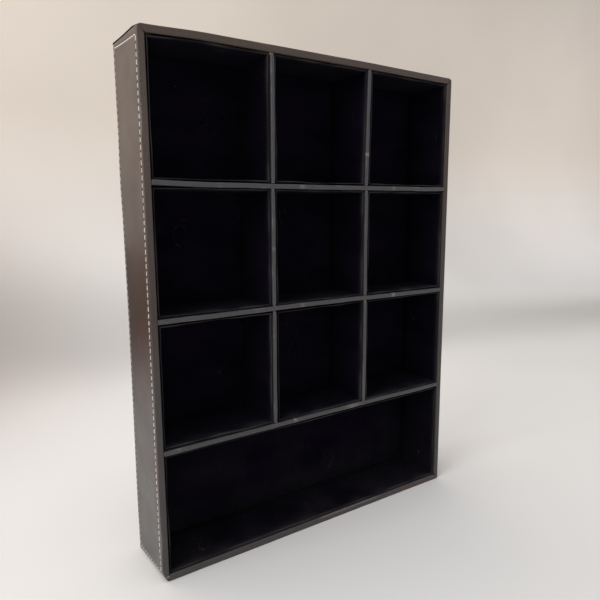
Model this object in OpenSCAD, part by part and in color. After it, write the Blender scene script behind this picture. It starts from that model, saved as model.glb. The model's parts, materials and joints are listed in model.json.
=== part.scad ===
// Coin display frame: a shallow leather-covered case that stands on its bottom edge,
// open at the front, with three shelves and six uprights making ten velvet-lined
// compartments.
// Frame: x runs left to right, y runs from the open front to the back, z is up.
// The origin is on the floor, under the middle of the case.

/* [Case] */
// Outside width
case_w = 300; // [260:10:360]
// Outside height
case_h = 400; // [380:10:460]
// Outside depth, from the front rim to the back
case_d = 55; // [45:1:80]
// Radius of the two top corners, seen from the front
top_corner_r = 3; // [1:0.5:3]
// Radius of the two bottom corners, seen from the front
bottom_corner_r = 2.5; // [1:0.5:3]

/* [Boards] */
// Thickness of the four wall boards and the back board
wall_board_t = 3; // [2.5:0.5:5]
// Thickness of the shelf boards and the upright boards
divider_board_t = 2; // [2:0.5:4]

/* [Compartments] */
// Height of the middle of the top shelf
top_shelf_z = 297; // [285:0.5:320]
// Height of the middle of the middle shelf
middle_shelf_z = 200.5; // [185:0.5:220]
// Height of the middle of the bottom shelf
bottom_shelf_z = 102.5; // [90:0.5:120]
// Distance of each upright from the middle of the case
upright_x = 47.5; // [35:0.5:60]
// How far the upper end of the top right upright leans outwards
upright_lean = 2.2; // [0:0.1:4]

/* [Leather] */
// Thickness of the leather on the walls
cover_t = 1.2; // [0.8:0.1:1.4]
// Thickness of the leather on the shelves and uprights
wrap_t = 1; // [0.8:0.1:1.2]
// Radius of the outer edge of the front rim
rim_outer_r = 0.75; // [0.5:0.25:2.5]
// Radius of the inner edge of the front rim
rim_inner_r = 1.2; // [0.6:0.1:1.4]
// Radius of the front edges of the shelves and uprights
wrap_edge_r = 1.2; // [0.6:0.1:1.4]
// Radius of the edge round the back
back_edge_r = 1; // [0.5:0.1:1.2]
// Width of the leather turned over onto the back
turnover_w = 12; // [8:1:20]

/* [Lining] */
// Thickness of the velvet-covered strip round the walls of a compartment
liner_t = 1.8; // [1:0.1:2]
// Thickness of the velvet pad at the back of a compartment
pad_t = 2; // [1:0.5:4]
// Distance that the lining stops behind the front rim
liner_setback = 1; // [0.5:0.5:4]

/* [Stitching] */
// Length from one stitch to the next
stitch_pitch = 5; // [4.5:0.5:6]
// Length of thread that shows in each stitch
stitch_len = 3.6; // [2.5:0.1:3.6]
// Distance of a seam from the front edge and the two ends of its wall
seam_inset = 4; // [3.5:0.5:8]
// Distance of a seam from the back edge of its wall
seam_back_inset = 2.5; // [2:0.5:8]
// Width of the groove that a seam lies in
groove_w = 1; // [0.9:0.1:1.4]
// Depth of the groove that a seam lies in
groove_d = 0.5; // [0.5:0.05:0.6]
// Width of the thread
thread_w = 0.8; // [0.5:0.1:0.8]

/* [Pins] */
// Thickness of the headless pins that join the boards
pin_t = 0.8; // [0.6:0.1:1]
// Length of a pin
pin_len = 12; // [8:1:14]
// Distance between the pins at each corner of the case
corner_pin_gap = 18; // [10:1:18]
// Distance between the pins up each side of the back board
side_pin_gap = 80; // [60:5:80]
// Distance between the pins along the top and bottom of the back board
end_pin_gap = 70; // [50:5:70]

/* [Hidden] */
$fn = 48;
leather_colour = [0.24, 0.22, 0.21];
velvet_colour = [0.03, 0.03, 0.035];
board_colour = [0.62, 0.48, 0.34];
thread_colour = [0.80, 0.74, 0.66];
pin_colour = [0.70, 0.70, 0.72];

half_w = case_w / 2;
half_d = case_d / 2;
mid_h = case_h / 2;
inner_side = cover_t + wall_board_t;
rim_w = inner_side + cover_t;
divider_w = divider_board_t + 2 * wrap_t;
inner_w = case_w - 2 * rim_w;

// Depths, measured from the front rim
back_board_front = case_d - cover_t - wall_board_t;
turnover_front = case_d - cover_t;
pad_front = back_board_front - pad_t;

// Rows of compartments, from the top down
shelf_zs = [top_shelf_z, middle_shelf_z, bottom_shelf_z];
row_tops = concat([case_h - rim_w], [for (z = shelf_zs) z - divider_w / 2]);
row_bottoms = concat([for (z = shelf_zs) z + divider_w / 2], [rim_w]);
last_row = len(shelf_zs);

// Length of a seam from front to back, and the y of its middle
seam_depth = case_d - seam_inset - seam_back_inset;
seam_y = (seam_inset - seam_back_inset) / 2;

// Thread: a thin web along the groove, raised into a stitch at every pitch
web_t = 0.2;
thread_t = groove_d - 0.05;
stitch_end = 0.3;

corner_pin_ys = [-corner_pin_gap, 0, corner_pin_gap];
side_pin_zs = [for (i = [-2:2]) mid_h + i * side_pin_gap];
end_pin_xs = [for (i = [-1.5:1.5]) i * end_pin_gap];
back_pin_y = half_d - cover_t - wall_board_t / 2;

// Overshoot of the cutting solids
cut = 5;

row_names = ["1", "2", "3"];
upright_sides = ["left", "right"];
column_names = ["left", "middle", "right"];

// ---- Where the compartments are ----

function row_height(row) = row_tops[row] - row_bottoms[row];

// Angle that an upright leans outwards: only the top right one leans
function lean(row, side) = row == 0 && side == 1 ? atan(upright_lean / row_height(row)) : 0;

// x of the left (-1) or right (+1) face of an upright, at height z
function face_x(row, side, hand, z) =
    (side == 0 ? -upright_x : upright_x)
    + hand * divider_w / 2 / cos(lean(row, side))
    + (z - row_bottoms[row]) * tan(lean(row, side));

// x of a compartment's left and right walls at height z, with the walls moved in by inset
function left_x(row, column, z, inset) =
    column == 0
        ? -inner_w / 2 + inset
        : face_x(row, column - 1, 1, z) + inset / cos(lean(row, column - 1));
function right_x(row, column, z, inset) =
    column == 2 || row == last_row
        ? inner_w / 2 - inset
        : face_x(row, column, -1, z) - inset / cos(lean(row, column));

// Corners of a compartment, seen from the front, with every wall moved in by inset
function compartment(row, column, inset) =
    let (low = row_bottoms[row] + inset, high = row_tops[row] - inset)
    [
        [left_x(row, column, low, inset), low],
        [right_x(row, column, low, inset), low],
        [right_x(row, column, high, inset), high],
        [left_x(row, column, high, inset), high]
    ];

// ---- Helpers ----

// Rectangle given by two opposite corners
module square_from(x0, y0, x1, y1) {
    translate([x0, y0]) square([x1 - x0, y1 - y0]);
}

// What is outside the rounding of a square corner at the origin
module corner_notch(r) {
    difference() {
        translate([-cut, -cut]) square(cut + r);
        translate([r, r]) circle(r);
    }
}

// Rectangle w by h from the origin, with radii for the corners at the left and right
// of its y = 0 side, and with its other two corners square
module rounded_at_front(w, h, left_r, right_r) {
    difference() {
        square([w, h]);
        corner_notch(left_r);
        translate([w, 0]) rotate(90) corner_notch(right_r);
    }
}

// Rectangle w by h from the origin, with one radius for the two corners of its y = 0
// side and one for the other two
module rounded_rectangle(w, h, front_r, back_r) {
    difference() {
        rounded_at_front(w, h, front_r, front_r);
        translate([w, h]) rotate(180) corner_notch(back_r);
        translate([0, h]) rotate(270) corner_notch(back_r);
    }
}

// Extrudes a shape drawn in x and z, from depth front to depth back behind the rim
module between_depths(front, back) {
    translate([0, back - half_d, 0])
        rotate([90, 0, 0])
            linear_extrude(back - front)
                children();
}

// ---- Wall covers ----

// Section of a wall's leather: x is the distance in from the outer face, y the
// distance back from the front rim. The leather runs over the outside and the front
// edge, and is turned over at the back.
module cover_section() {
    difference() {
        union() {
            rounded_at_front(rim_w, back_board_front, rim_outer_r, rim_inner_r);
            square_from(0, rim_outer_r, cover_t, turnover_front);
        }
        translate([cover_t, cover_t]) square([rim_w, case_d]);
    }
    difference() {
        square_from(0, turnover_front, turnover_w, case_d);
        translate([0, case_d]) rotate(270) corner_notch(back_edge_r);
    }
}

// The left wall's share of the front view, mitred along its ends
module side_area() {
    polygon([
        [-half_w, cover_t],
        [-half_w + cover_t, cover_t],
        [-half_w + turnover_w, turnover_w],
        [-half_w + turnover_w, case_h - turnover_w],
        [-half_w + cover_t, case_h - cover_t],
        [-half_w, case_h - cover_t]
    ]);
}

// The share of the wall at z = 0, whose leather lies over the ends of the side walls
module end_area() {
    polygon([
        [-half_w, 0],
        [half_w, 0],
        [half_w, cover_t],
        [half_w - cover_t, cover_t],
        [half_w - turnover_w, turnover_w],
        [-half_w + turnover_w, turnover_w],
        [-half_w + cover_t, cover_t],
        [-half_w, cover_t]
    ]);
}

// Whole case seen from the front
module front_outline() {
    translate([-half_w, 0])
        rounded_rectangle(case_w, case_h, bottom_corner_r, top_corner_r);
}

// Whole case seen from above
module plan_outline() {
    translate([-half_w, -half_d])
        rounded_rectangle(case_w, case_d, rim_outer_r, back_edge_r);
}

module side_leather() {
    intersection() {
        translate([-half_w, -half_d, 0])
            linear_extrude(case_h)
                cover_section();
        between_depths(0, case_d)
            intersection() {
                side_area();
                front_outline();
            }
    }
}

module end_leather() {
    intersection() {
        translate([half_w, -half_d, 0])
            rotate([0, -90, 0])
                linear_extrude(case_w)
                    cover_section();
        between_depths(0, case_d)
            end_area();
        linear_extrude(case_h)
            plan_outline();
    }
}

// Rounds off the ends of the leather at z = 0 to suit a case corner of radius r
module end_cover(corner_r) {
    color(leather_colour)
        difference() {
            intersection() {
                end_leather();
                between_depths(0, case_d)
                    translate([-half_w, 0])
                        rounded_at_front(case_w, mid_h, corner_r, corner_r);
            }
            on_bottom_face()
                groove(case_w - 2 * seam_inset, seam_depth);
        }
}

module side_cover() {
    color(leather_colour)
        difference() {
            side_leather();
            on_left_face()
                groove(seam_depth, case_h - 2 * seam_inset);
        }
}

// The panel let into the back, level with the leather turned over round it
module back_panel() {
    color(leather_colour)
        between_depths(turnover_front, case_d)
            square_from(
                -half_w + turnover_w,
                turnover_w,
                half_w - turnover_w,
                case_h - turnover_w
            );
}

// ---- Facings: the strips of leather on the inner sides of the walls ----

module facing(low, high) {
    color(leather_colour)
        translate([0, -half_d, 0])
            translate(low)
                cube(high - low);
}

module side_facing() {
    facing(
        [-half_w + inner_side, cover_t, inner_side],
        [-half_w + rim_w, back_board_front, case_h - inner_side]
    );
}

module end_facing() {
    facing(
        [-half_w + rim_w, cover_t, inner_side],
        [half_w - rim_w, back_board_front, rim_w]
    );
}

// ---- Seams ----

// A seam is drawn round the origin in x and y, with z pointing into the leather. These
// two move it onto the outer face of the left wall or of the bottom wall.
module on_left_face() {
    translate([-half_w, seam_y, mid_h])
        rotate([90, 0, 90])
            children();
}

module on_bottom_face() {
    translate([0, seam_y, 0]) children();
}

// Groove of a seam a long and b wide, cut groove_d deep above z = 0
module groove(a, b) {
    translate([0, 0, -cut])
        linear_extrude(cut + groove_d)
            difference() {
                square([a + groove_w, b + groove_w], center = true);
                square([a - groove_w, b - groove_w], center = true);
            }
}

// Outline of one run of thread with the bottom of the groove at y = 0; the web
// reaches past both ends by reach, which may be negative
function run_outline(length, reach) =
    let (
        count = round(length / stitch_pitch),
        pitch = length / count,
        gap = (pitch - stitch_len) / 2,
        start = -length / 2,
        stitch = [
            [gap, web_t],
            [gap + stitch_end, thread_t],
            [pitch - gap - stitch_end, thread_t],
            [pitch - gap, web_t]
        ]
    )
    concat(
        [[-start + reach, web_t], [-start + reach, 0], [start - reach, 0], [start - reach, web_t]],
        [for (i = [0:count - 1], point = stitch) [start + i * pitch + point[0], point[1]]]
    );

module thread_run(length, reach) {
    rotate([-90, 0, 0])
        linear_extrude(thread_w, center = true)
            polygon(run_outline(length, reach));
}

// Thread of a seam a long and b wide, lying in its groove
module thread(a, b) {
    color(thread_colour)
        translate([0, 0, groove_d])
            for (hand = [-1, 1]) {
                translate([0, hand * b / 2, 0])
                    thread_run(a, thread_w / 2);
                translate([hand * a / 2, 0, 0])
                    rotate(90)
                        thread_run(b, -thread_w / 2);
            }
}

module end_thread() {
    on_bottom_face()
        thread(case_w - 2 * seam_inset, seam_depth);
}

module side_thread() {
    on_left_face()
        thread(seam_depth, case_h - 2 * seam_inset);
}

// ---- Pins ----

module corner_pins() {
    color(pin_colour)
        for (hand = [-1, 1], y = corner_pin_ys, z = [cover_t, case_h - cover_t - wall_board_t]) {
            translate([hand * (half_w - cover_t - pin_len / 2), y, z + wall_board_t / 2])
                cube([pin_len, pin_t, pin_t], center = true);
        }
}

module back_pins() {
    color(pin_colour) {
        for (hand = [-1, 1], z = side_pin_zs) {
            translate([hand * (half_w - cover_t - pin_len / 2), back_pin_y, z])
                cube([pin_len, pin_t, pin_t], center = true);
        }
        for (x = end_pin_xs, z = [cover_t, case_h - cover_t - pin_len]) {
            translate([x, back_pin_y, z + pin_len / 2])
                cube([pin_t, pin_t, pin_len], center = true);
        }
    }
}

// ---- Boards ----

// A board between two opposite corners, less the pins through it
module pinned_board(low, high) {
    color(board_colour)
        difference() {
            translate(low) cube(high - low);
            corner_pins();
            back_pins();
        }
}

module side_board() {
    pinned_board(
        [-half_w + cover_t, -half_d + cover_t, cover_t],
        [-half_w + inner_side, half_d - cover_t, case_h - cover_t]
    );
}

module end_board() {
    pinned_board(
        [-half_w + inner_side, -half_d + cover_t, cover_t],
        [half_w - inner_side, half_d - cover_t, inner_side]
    );
}

module back_board() {
    pinned_board(
        [-half_w + inner_side, back_board_front - half_d, inner_side],
        [half_w - inner_side, half_d - cover_t, case_h - inner_side]
    );
}

// ---- Shelves and uprights ----

// Section of a divider's leather, folded round the front of its board: x is across
// the divider, y the distance back from the front rim
module wrap_section() {
    difference() {
        translate([-divider_w / 2, 0])
            rounded_at_front(divider_w, back_board_front, wrap_edge_r, wrap_edge_r);
        translate([-divider_board_t / 2, wrap_t]) square([divider_board_t, case_d]);
    }
}

module divider_board_section() {
    square_from(-divider_board_t / 2, wrap_t, divider_board_t / 2, back_board_front);
}

// Runs a divider's section along a shelf
module along_shelf(row) {
    translate([inner_w / 2, -half_d, shelf_zs[row]])
        rotate([0, -90, 0])
            linear_extrude(inner_w)
                children();
}

// Runs a divider's section up an upright, cut level with the shelves above and below
module along_upright(row, side) {
    intersection() {
        translate([side == 0 ? -upright_x : upright_x, -half_d, row_bottoms[row]])
            rotate([0, lean(row, side), 0])
                translate([0, 0, -cut])
                    linear_extrude(row_height(row) + 2 * cut)
                        children();
        translate([-half_w, -case_d, row_bottoms[row]])
            cube([case_w, 2 * case_d, row_height(row)]);
    }
}

module shelf_board(row) {
    color(board_colour) along_shelf(row) divider_board_section();
}

module shelf_wrap(row) {
    color(leather_colour) along_shelf(row) wrap_section();
}

module upright_board(row, side) {
    color(board_colour) along_upright(row, side) divider_board_section();
}

module upright_wrap(row, side) {
    color(leather_colour) along_upright(row, side) wrap_section();
}

// ---- Lining ----

// One strip creased at the corners, round the four walls of a compartment
module liner(row, column) {
    color(velvet_colour)
        between_depths(liner_setback, pad_front)
            difference() {
                polygon(compartment(row, column, 0));
                polygon(compartment(row, column, liner_t));
            }
}

module back_pad(row, column) {
    color(velvet_colour)
        between_depths(pad_front, back_board_front)
            polygon(compartment(row, column, 0));
}

// ---- The case ----

module to_right() {
    mirror([1, 0, 0]) children();
}

module to_top() {
    translate([0, 0, case_h]) mirror([0, 0, 1]) children();
}

side_board();  // left_board
to_right() side_board();  // right_board
to_top() end_board();  // top_board
end_board();  // bottom_board
back_board();
side_cover();  // left_cover
to_right() side_cover();  // right_cover
to_top() end_cover(top_corner_r);  // top_cover
end_cover(bottom_corner_r);  // bottom_cover
back_panel();
side_facing();  // left_facing
to_right() side_facing();  // right_facing
to_top() end_facing();  // top_facing
end_facing();  // bottom_facing
side_thread();  // left_thread
to_right() side_thread();  // right_thread
to_top() end_thread();  // top_thread
end_thread();  // bottom_thread
corner_pins();
back_pins();
for (row = [0:2]) {
    shelf_board(row);
    shelf_wrap(row);
    for (side = [0, 1]) {
        name = str("_", row_names[row], "_", upright_sides[side]);
        upright_board(row, side);
        upright_wrap(row, side);
    }
    for (column = [0:2]) {
        name = str("_", row_names[row], "_", column_names[column]);
        liner(row, column);
        back_pad(row, column);
    }
}
liner(last_row, 0);  // liner_4
back_pad(last_row, 0);  // back_pad_4
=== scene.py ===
"""Looks of a leather-covered display case that stands open at the front.

The case is leather on thin boards, with cream seams round its walls, three shelves, six
short uprights, and black velvet in every compartment. Shapes are worked out in
millimetres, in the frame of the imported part, and become metres when a piece is made.
"""

import json
from math import cos, hypot, pi, radians, sin, sqrt

import bmesh
import bpy
import numpy as np
from mathutils import Matrix, Vector
from mathutils.geometry import tessellate_polygon


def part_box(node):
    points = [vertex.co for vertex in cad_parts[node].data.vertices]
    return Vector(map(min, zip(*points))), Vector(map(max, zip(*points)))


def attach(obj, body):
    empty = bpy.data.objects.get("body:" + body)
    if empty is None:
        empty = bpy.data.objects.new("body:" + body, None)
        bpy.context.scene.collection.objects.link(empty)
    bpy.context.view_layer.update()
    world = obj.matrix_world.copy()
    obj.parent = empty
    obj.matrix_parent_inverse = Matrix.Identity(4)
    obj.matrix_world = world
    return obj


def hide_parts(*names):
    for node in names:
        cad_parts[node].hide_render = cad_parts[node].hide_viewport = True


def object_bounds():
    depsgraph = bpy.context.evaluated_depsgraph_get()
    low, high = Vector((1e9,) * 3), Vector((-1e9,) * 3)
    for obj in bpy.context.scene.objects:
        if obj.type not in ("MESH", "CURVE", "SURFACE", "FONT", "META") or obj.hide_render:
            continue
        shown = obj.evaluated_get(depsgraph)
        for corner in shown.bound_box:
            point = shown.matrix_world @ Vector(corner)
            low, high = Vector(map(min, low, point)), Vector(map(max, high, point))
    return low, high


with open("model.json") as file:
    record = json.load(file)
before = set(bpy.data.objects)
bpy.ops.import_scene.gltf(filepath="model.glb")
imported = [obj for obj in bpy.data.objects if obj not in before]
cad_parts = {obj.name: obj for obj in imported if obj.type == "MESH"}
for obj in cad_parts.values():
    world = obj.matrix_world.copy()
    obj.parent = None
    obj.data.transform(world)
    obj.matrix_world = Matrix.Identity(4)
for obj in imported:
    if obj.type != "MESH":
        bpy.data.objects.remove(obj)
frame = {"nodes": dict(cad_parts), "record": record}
cad_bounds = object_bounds()

# ---- Dimensions, in millimetres ----

MM = 0.001


def box_mm(node):
    """Lowest and highest corner of a CAD node."""
    low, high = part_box(node)
    return np.array(low) / MM, np.array(high) / MM


CASE_LOW = np.array(cad_bounds[0]) / MM
CASE_HIGH = np.array(cad_bounds[1]) / MM
WIDTH, DEPTH, HEIGHT = CASE_HIGH - CASE_LOW
LEFT, FRONT, BOTTOM = CASE_LOW

# Read from the frame
COVER_T = box_mm("left_board")[0][0] - LEFT
RIM_W = box_mm("liner_4")[0][0] - LEFT
TURNOVER_W = box_mm("back_panel")[0][0] - LEFT
PANEL_FRONT = box_mm("back_panel")[0][1] - FRONT
PAD_FRONT = box_mm("back_pad_4")[0][1] - FRONT
PAD_BACK = box_mm("back_pad_4")[1][1] - FRONT
DIVIDER_W = box_mm("shelf_wrap_1")[1][2] - box_mm("shelf_wrap_1")[0][2]
BOARD_W = box_mm("shelf_board_1")[1][2] - box_mm("shelf_board_1")[0][2]
WRAP_T = (DIVIDER_W - BOARD_W) / 2

# How each corner of the case is rounded, seen from the front, by the side it is on: -1
# for left or bottom, 1 for right or top. Width and height of the rounding at the rim and
# at the back, the power of its curve (2 is an ellipse, and 1 would be a straight cut), and
# how far behind the rim the rear size is reached. The lower left corner is crushed at the
# front, and at the upper left the leather's cut edge stays square.
CORNERS = {
    (-1, -1): ((4.6, 10.8), (1.0, 1.0), 1.4, DEPTH),
    (1, -1): ((2.4, 2.4), (1.5, 1.5), 2, 34),
    (-1, 1): ((3.4, 3.4), (0.25, 0.25), 2, 9),
    (1, 1): ((3.6, 3.6), (2.0, 2.0), 2, 34),
}

# How far the upper corners have sunk at the front. From the left edge, the left one fades
# out over its span, and the right one sets in at its start.
LEFT_SUNK = 1.4
LEFT_SUNK_SPAN = 52
RIGHT_SUNK = 0.8
RIGHT_SUNK_START = 190

# Bows of the left wall's back edge: how far it strays to the right, at what share of the
# height, and how wide the bow is as a share of the height
LEFT_WALL_BOWS = [(0.4, 0.5, 0.14), (-0.45, 0.11, 0.11), (-0.45, 0.76, 0.055)]

# Pins at the corners of the case
PIN_LEN = 12.0
PIN_GAP = 18.0

# Edges seen in section
BACK_EDGE_R = 1.0
RIM_OUTER_R = 0.7
RIM_INNER_R = 1.2
WRAP_EDGE_R = 1.1

# Seams. A seam's runs follow its corners: along the front edge, across to the back, along
# the back edge and across to the front. The last one's stitches are shorter. The crown is
# a stitch's height over the leather, less on the bottom so that the case stands flat.
PITCH = 5.0
FRONT_INSET = 4.0
BACK_INSET = 2.5
THREAD_R = 0.26
PLY_OFFSET = 0.2
TWIST_LEN = 1.7
STITCH_GAP = 0.85
LOWER_RUN_GAP = 0.6
STITCH_SLANT = 0.28
CROWN = -0.15
BOTTOM_CROWN = -0.42
RUN_SOIL = (0, 0, 0.6, 0.2)

# Hollows in the leather: along a seam, at a needle hole and at a mitre, and the deepest
# that all of them together may be
GROOVE = 0.30
PINCH = 0.4
MITRE_HOLLOW = 0.28
MAX_SINK = 0.75

# Heights of a darker and of a paler stretch of the left rim
DARK_RIM_AT = 215
PALE_RIM_AT = 345

# Lining
LINER_T = 1.8
LINER_GAP = 0.85
LINER_FRONT = 1.1

# ---- Helpers for shapes ----


def ramp(x, start, end):
    """0 at start, 1 at end, and a smooth S between; held outside them."""
    t = np.clip((np.asarray(x, float) - start) / (end - start), 0, 1)
    return t * t * (3 - 2 * t)


def bump(x, width):
    """A smooth hill, 1 high at 0 and about width wide to each side."""
    return np.exp(-((np.asarray(x, float) / width) ** 2))


def ripple(points, wavelength, seed):
    """A smooth random height, mostly from -1 to 1, at each point of an (..., 3) array."""
    rng = np.random.default_rng(seed)
    waves = 7
    total = np.zeros(points.shape[:-1])
    for _ in range(waves):
        direction = rng.normal(size=3)
        direction /= np.linalg.norm(direction)
        length = wavelength * rng.uniform(0.7, 1.7)
        phase = rng.uniform(0, 2 * pi)
        total += np.sin(2 * pi * (points @ direction) / length + phase)
    return total / sqrt(waves)


def arc(centre, radius, start, end, steps):
    """Points on an arc, between two angles in degrees."""
    angles = np.radians(np.linspace(start, end, steps + 1))
    return [(centre[0] + radius * cos(a), centre[1] + radius * sin(a)) for a in angles]


def outward_normals(outline):
    """Unit normals of a closed outline whose points run with its outside on the right."""
    along = np.roll(outline, -1, 0) - np.roll(outline, 1, 0)
    normals = np.stack([along[:, 1], -along[:, 0]], 1)
    return normals / np.maximum(np.linalg.norm(normals, axis=1), 1e-9)[:, None]


def add_object(name, data):
    """Puts a mesh, lamp or camera into the scene."""
    made = bpy.data.objects.new(name, data)
    bpy.context.scene.collection.objects.link(made)
    return made


class Shell:
    """Points and faces of one piece, in millimetres, with two painted values at each point:
    one for scuffs, soil and painted light, and one for dark lines and painted shade.
    """

    def __init__(self):
        self.points = []
        self.faces = []
        self.end_faces = []
        self.values = {"wear": [], "crease": []}
        self.count = 0

    def add_points(self, points, **values):
        first = self.count
        flat = np.asarray(points, float).reshape(-1, 3)
        self.points.append(flat)
        self.count += len(flat)
        for name, kept in self.values.items():
            given = np.broadcast_to(values.get(name, 0.0), np.shape(points)[:-1])
            kept.append(np.asarray(given, float).reshape(-1))
        return first

    def add_grid(self, points, round_first=False, round_second=False, **values):
        """Adds the quads of a grid of points, which may close on itself either way."""
        rows, columns = points.shape[:2]
        first = self.add_points(points, **values)
        index = first + np.arange(rows * columns).reshape(rows, columns)
        if round_first:
            index = np.vstack([index, index[:1]])
        if round_second:
            index = np.hstack([index, index[:, :1]])
        quads = np.stack([index[:-1, :-1], index[:-1, 1:], index[1:, 1:], index[1:, :-1]], -1)
        self.faces += quads.reshape(-1, 4).tolist()
        return index

    def add_tube(self, rings, cap_shape=None, **values):
        """Adds a tube through rings of points and closes its two ends. cap_shape is the
        flat outline that says how an end that isn't convex is filled."""
        index = self.add_grid(rings, round_second=True, **values)[:, :-1]
        if cap_shape is None:
            self.faces += [index[0].tolist(), index[-1][::-1].tolist()]
            return
        flat = [Vector((u, v, 0)) for u, v in cap_shape]
        self.end_faces = range(len(self.faces), len(self.faces) + 2 * (len(flat) - 2))
        for corners in tessellate_polygon([flat]):
            self.faces.append([int(index[0][c]) for c in corners])
            self.faces.append([int(index[-1][c]) for c in reversed(corners)])

    def make(self, name, material, slot, *replaced, end_material=None):
        """Makes the Blender object, which rides on the case in place of CAD nodes. The
        ends of a tube may have a material of their own."""
        mesh = bpy.data.meshes.new(name)
        mesh.from_pydata((np.vstack(self.points) * MM).tolist(), [], self.faces)
        shape = bmesh.new()
        shape.from_mesh(mesh)
        bmesh.ops.recalc_face_normals(shape, faces=shape.faces)
        shape.to_mesh(mesh)
        shape.free()
        for kind, kept in self.values.items():
            attribute = mesh.attributes.new(kind, "FLOAT", "POINT")
            attribute.data.foreach_set("value", np.concatenate(kept).astype(np.float32))
        mesh.shade_smooth()
        mesh.materials.append(material)
        if end_material:
            mesh.materials.append(end_material)
            for i in self.end_faces:
                mesh.polygons[i].material_index = 1
                mesh.polygons[i].use_smooth = False
        piece = add_object(name, mesh)
        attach(piece, "root")
        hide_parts(*replaced)
        return piece


# ---- Materials ----


class Graph:
    """A node material under construction."""

    def __init__(self, name):
        self.material = bpy.data.materials.new(name)
        self.material.use_nodes = True
        self.tree = self.material.node_tree
        self.shader = self.tree.nodes["Principled BSDF"]

    def node(self, kind, inputs=(), **settings):
        made = self.tree.nodes.new(kind)
        for key, value in settings.items():
            setattr(made, key, value)
        for key, value in dict(inputs).items():
            if isinstance(value, bpy.types.NodeSocket):
                self.tree.links.new(value, made.inputs[key])
            else:
                made.inputs[key].default_value = value
        return made

    def shade(self, **inputs):
        """Sets or links the shader's own sockets; an underscore stands for a space."""
        for key, value in inputs.items():
            socket = self.shader.inputs[key.replace("_", " ")]
            if isinstance(value, bpy.types.NodeSocket):
                self.tree.links.new(value, socket)
            else:
                socket.default_value = value

    def place(self, stretch=(1, 1, 1), turn=(0, 0, 0)):
        """Coordinates fixed to the piece, in metres, that may be stretched and turned."""
        where = self.node("ShaderNodeTexCoord").outputs["Object"]
        inputs = {"Vector": where, "Scale": stretch, "Rotation": turn}
        return self.node("ShaderNodeMapping", inputs).outputs["Vector"]

    def noise(self, size_mm, detail=2.0, where=None, shift=0.0, rough=0.5):
        """Cloudy noise from 0 to 1, with clouds about size_mm across."""
        inputs = {
            "Vector": where or self.place(),
            "W": shift,
            "Scale": 1 / (size_mm * MM),
            "Detail": detail,
            "Roughness": rough,
        }
        return self.node("ShaderNodeTexNoise", inputs, noise_dimensions="4D").outputs["Fac"]

    def cells(self, size_mm, where=None, output="Distance"):
        inputs = {"Vector": where or self.place(), "Scale": 1 / (size_mm * MM)}
        return self.node("ShaderNodeTexVoronoi", inputs).outputs[output]

    def remap(self, value, low, high, to_low=0.0, to_high=1.0):
        inputs = {
            "Value": value,
            "From Min": low,
            "From Max": high,
            "To Min": to_low,
            "To Max": to_high,
        }
        return self.node("ShaderNodeMapRange", inputs).outputs["Result"]

    def math(self, operation, a, b=0.0):
        made = self.node("ShaderNodeMath", operation=operation)
        for socket, value in zip(made.inputs, (a, b)):
            if isinstance(value, bpy.types.NodeSocket):
                self.tree.links.new(value, socket)
            else:
                socket.default_value = value
        return made.outputs["Value"]

    def mix(self, factor, a, b, blend="MIX"):
        """Mixes two colours, each three numbers or a socket."""
        made = self.node("ShaderNodeMix", data_type="RGBA", blend_type=blend)
        sockets = [s for s in made.inputs if s.type == "RGBA"]
        for socket, value in zip([made.inputs["Factor"], *sockets], (factor, a, b)):
            if isinstance(value, bpy.types.NodeSocket):
                self.tree.links.new(value, socket)
            elif socket.type == "RGBA":
                socket.default_value = (*value, 1)
            else:
                socket.default_value = value
        return next(s for s in made.outputs if s.type == "RGBA")

    def dim(self, colour, share):
        """Multiplies a colour by a value that varies from place to place."""
        inputs = dict.fromkeys(("Red", "Green", "Blue"), share)
        grey = self.node("ShaderNodeCombineColor", inputs).outputs["Color"]
        return self.mix(1.0, colour, grey, "MULTIPLY")

    def painted(self, name):
        """A value painted on the mesh."""
        return self.node("ShaderNodeAttribute", attribute_name=name).outputs["Fac"]

    def bump(self, height, depth_mm, strength=1.0, below=None):
        inputs = {"Height": height, "Distance": depth_mm * MM, "Strength": strength}
        if below is not None:
            inputs["Normal"] = below
        return self.node("ShaderNodeBump", inputs).outputs["Normal"]


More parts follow.
